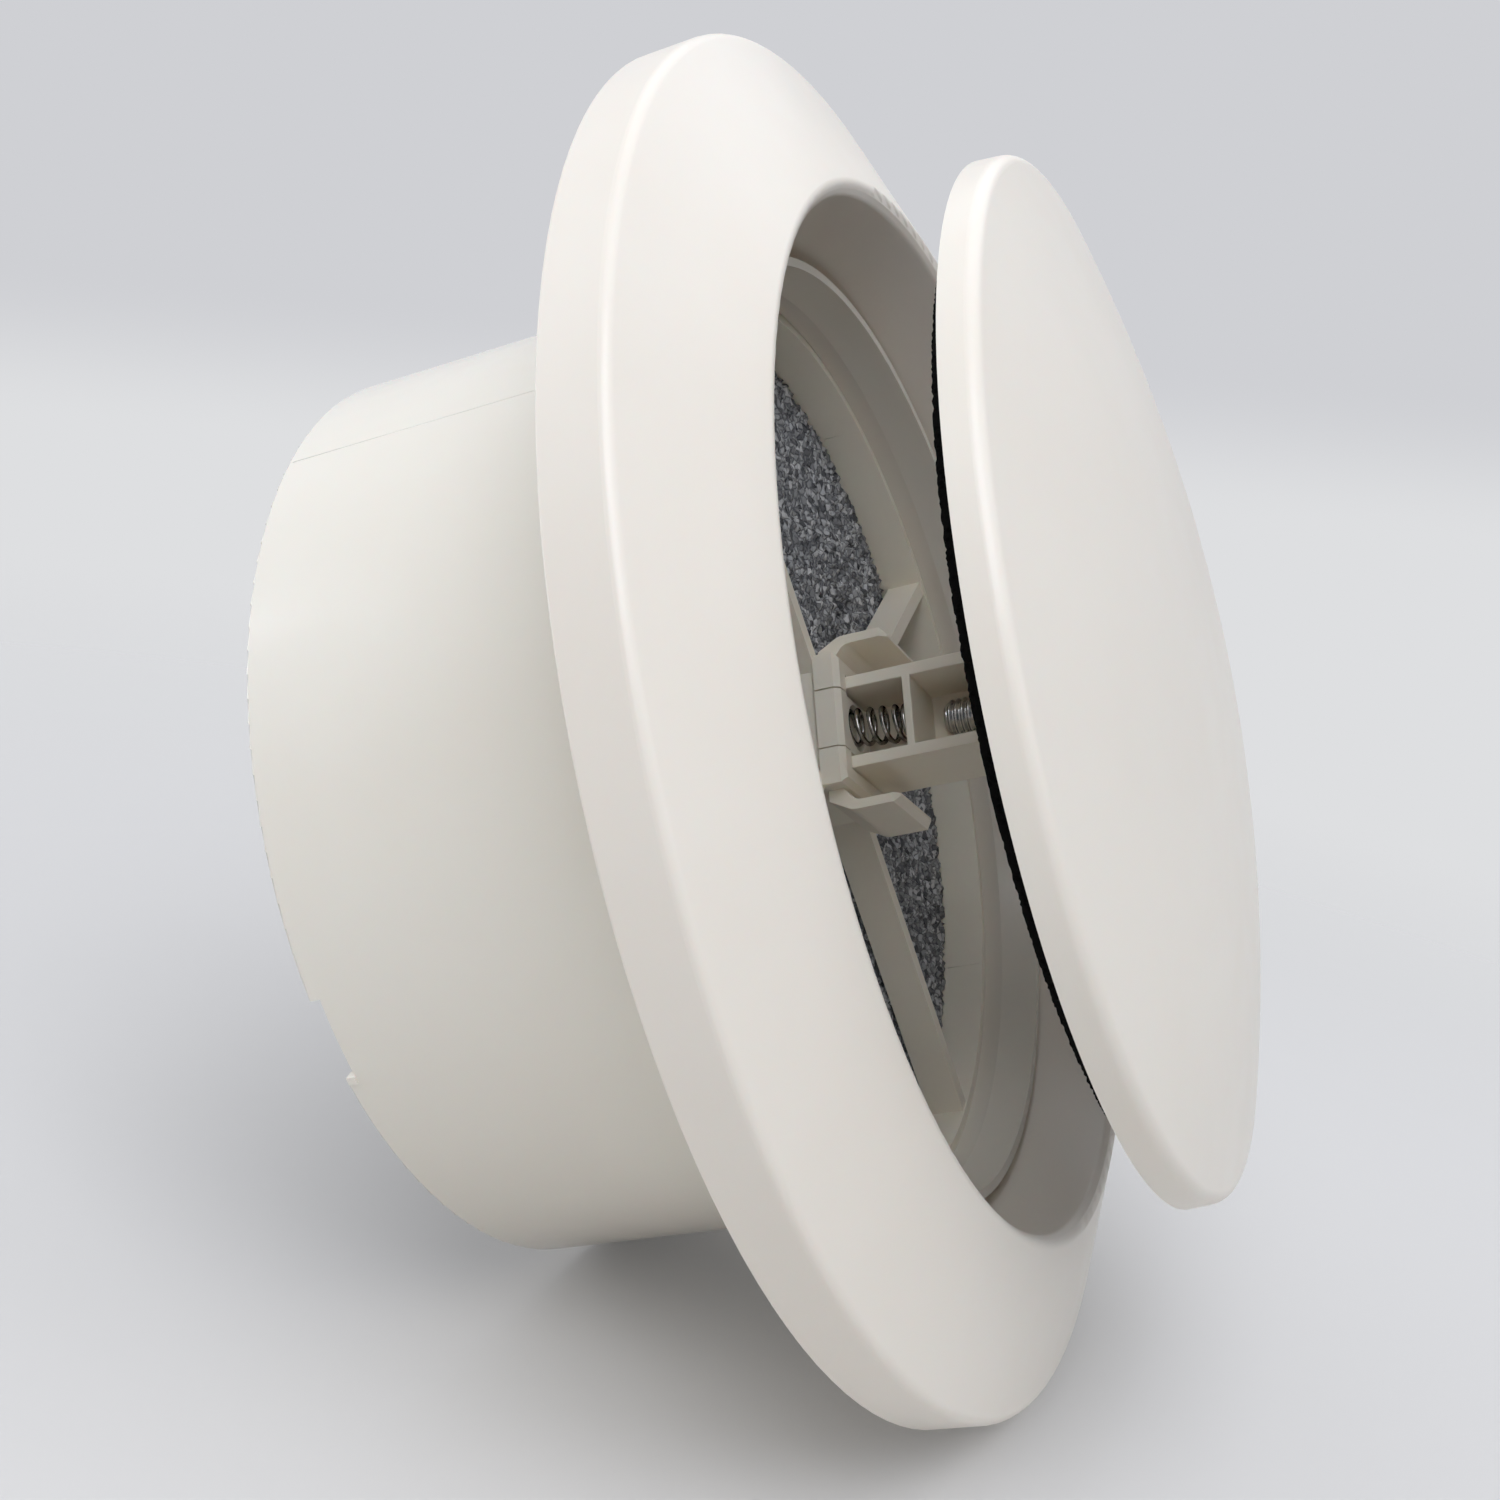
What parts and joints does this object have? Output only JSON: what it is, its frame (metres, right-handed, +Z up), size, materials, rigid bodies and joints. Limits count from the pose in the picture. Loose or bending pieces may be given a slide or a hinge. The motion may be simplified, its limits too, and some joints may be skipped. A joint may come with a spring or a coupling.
{
  "type": "air outlet vent",
  "caption": "Round duct vent with a conical flange, plain duct spigot, foam filter on a spider, and a domed disc that sets the air gap by turning on a screw in a sprung stem.",
  "frame": {"origin": "on the vent's axis, in the plane of the flange's wall face", "axes": "+Y along the axis into the duct, so the disc faces -Y; +Z up on the wall"},
  "size_m": [0.144, 0.0813, 0.144],
  "materials": {
    "ivory_plastic": "satin gloss",
    "natural_plastic": "satin",
    "filter_foam": "open cell foam, flecked",
    "spring_steel": "bright drawn wire",
    "zinc_steel": "zinc plated",
    "seal_foam": "matt cut foam"
  },
  "bodies": {
    "base": {"flange": "ivory_plastic", "collar": "ivory_plastic", "spider": "natural_plastic", "foam_filter": "filter_foam", "spring": "spring_steel"},
    "stem": {"stem": "natural_plastic", "nut": "zinc_steel"},
    "screw": {"screw": "zinc_steel"},
    "disc": {"disc_front": "ivory_plastic", "disc_back": "ivory_plastic", "seal_ring": "seal_foam"}
  },
  "joints": [
    {"name": "stem_press", "type": "slide", "parent": "base", "child": "stem", "axis": [0, 1, 0], "range_m": [0, 0.0022], "stiffness_N_per_m": 600, "springref_m": -0.004, "deforming": ["spring"]},
    {"name": "disc_travel", "type": "slide", "parent": "stem", "child": "screw", "axis": [0, -1, 0], "range_m": [-0.00142, 0.00284]},
    {"name": "disc_turn", "type": "hinge", "parent": "screw", "child": "disc", "pos_m": [0, 0, 0], "axis": [0, -1, 0], "range_deg": [-720, 1440]}
  ],
  "couplings": [
    {"joint": "disc_travel", "follows": "disc_turn", "m_per_rad": 0.00011141}
  ]
}
